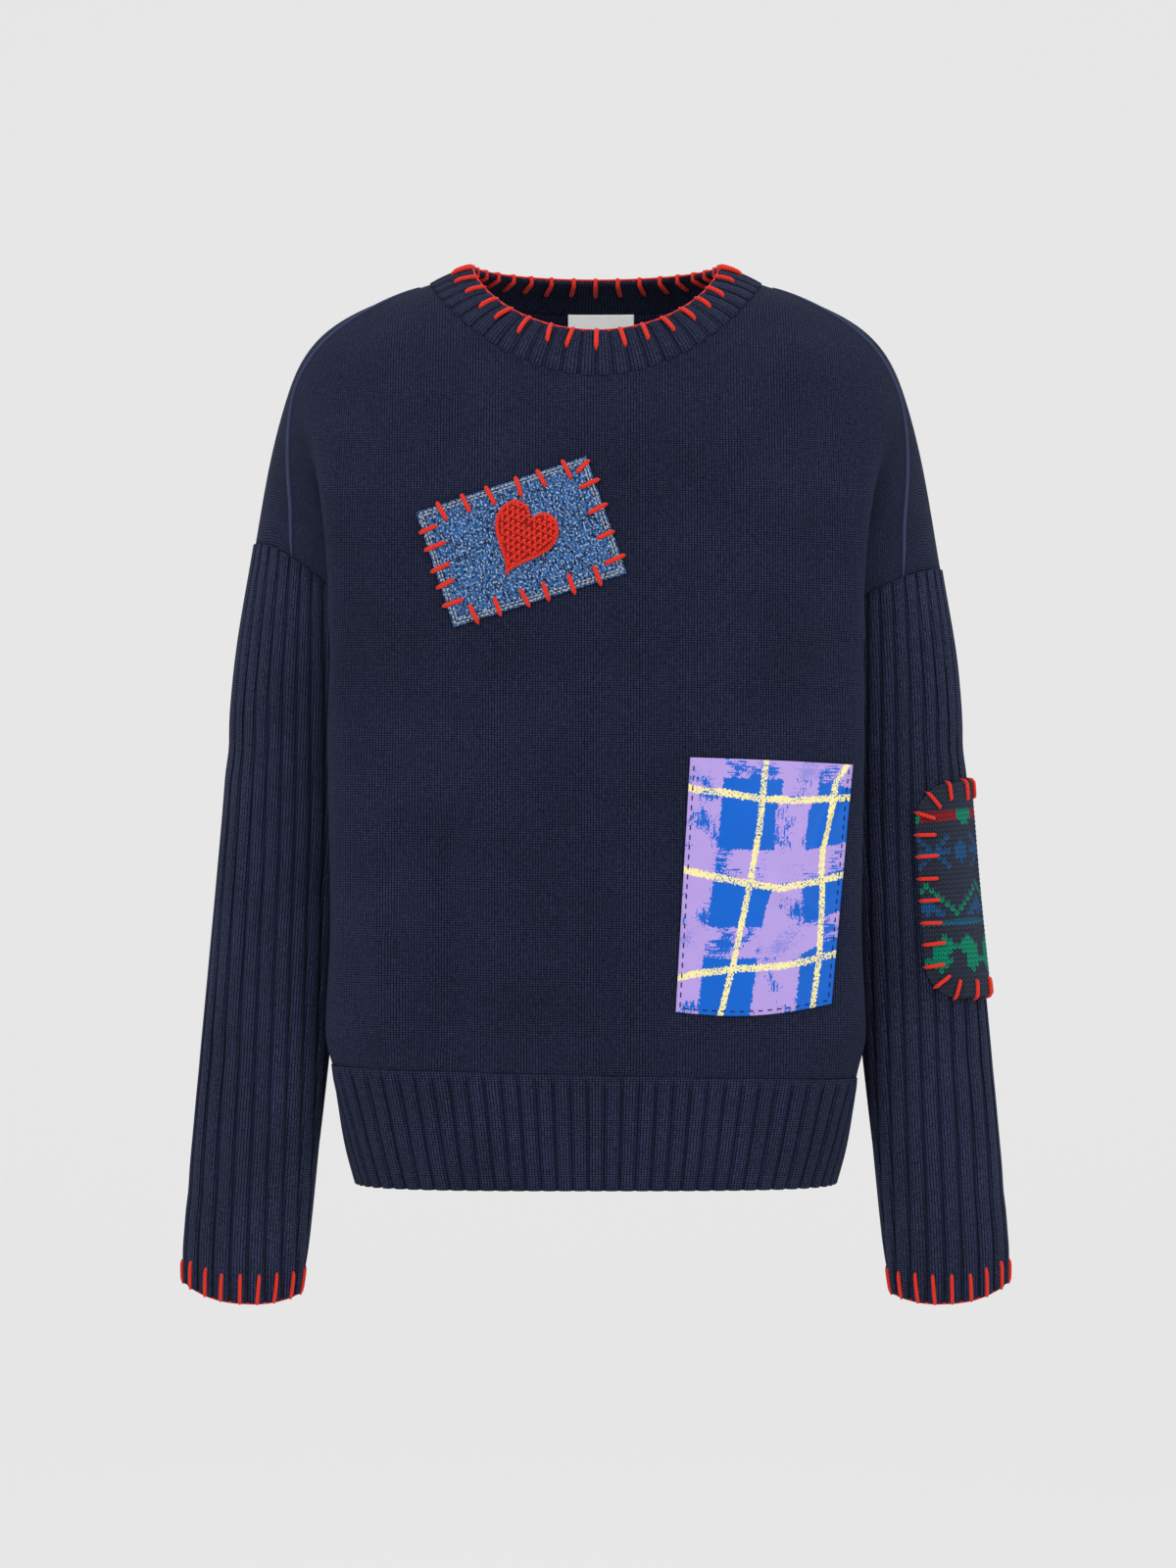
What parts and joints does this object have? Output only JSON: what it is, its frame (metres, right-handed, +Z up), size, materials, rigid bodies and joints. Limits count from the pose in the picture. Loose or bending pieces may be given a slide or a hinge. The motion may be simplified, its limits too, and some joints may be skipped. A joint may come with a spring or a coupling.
{
  "type": "patched wool sweater",
  "caption": "Loose crew-neck wool sweater, filled out and hollow, with ribbed sleeves, neckband and hem, blanket-stitched edges and sewn-on patches",
  "frame": {"origin": "middle of the neck opening, level with the high shoulder points", "axes": "+Z up, the front faces -Y, +X is the viewer's right"},
  "size_m": [0.5868, 0.2339, 0.7369],
  "materials": {
    "plain_knit": "navy wool stocking stitch",
    "rib_knit": "navy wool rib",
    "denim": "mottled blue denim",
    "red_yarn": "red wool yarn",
    "check_cloth": "smooth printed check cloth with a slight shine",
    "patterned_knit": "dark stranded knit with green, blue and red",
    "label_tape": "white woven tape"
  },
  "bodies": {
    "root": {"front_panel": "plain_knit", "back_panel": "plain_knit", "sleeve_left": "rib_knit", "sleeve_right": "rib_knit", "neckband": "rib_knit", "hem_front": "rib_knit", "hem_back": "rib_knit", "denim_patch": "denim", "crochet_heart": "red_yarn", "plaid_patch": "check_cloth", "elbow_patch": "patterned_knit", "neck_label": "label_tape"}
  },
  "joints": []
}
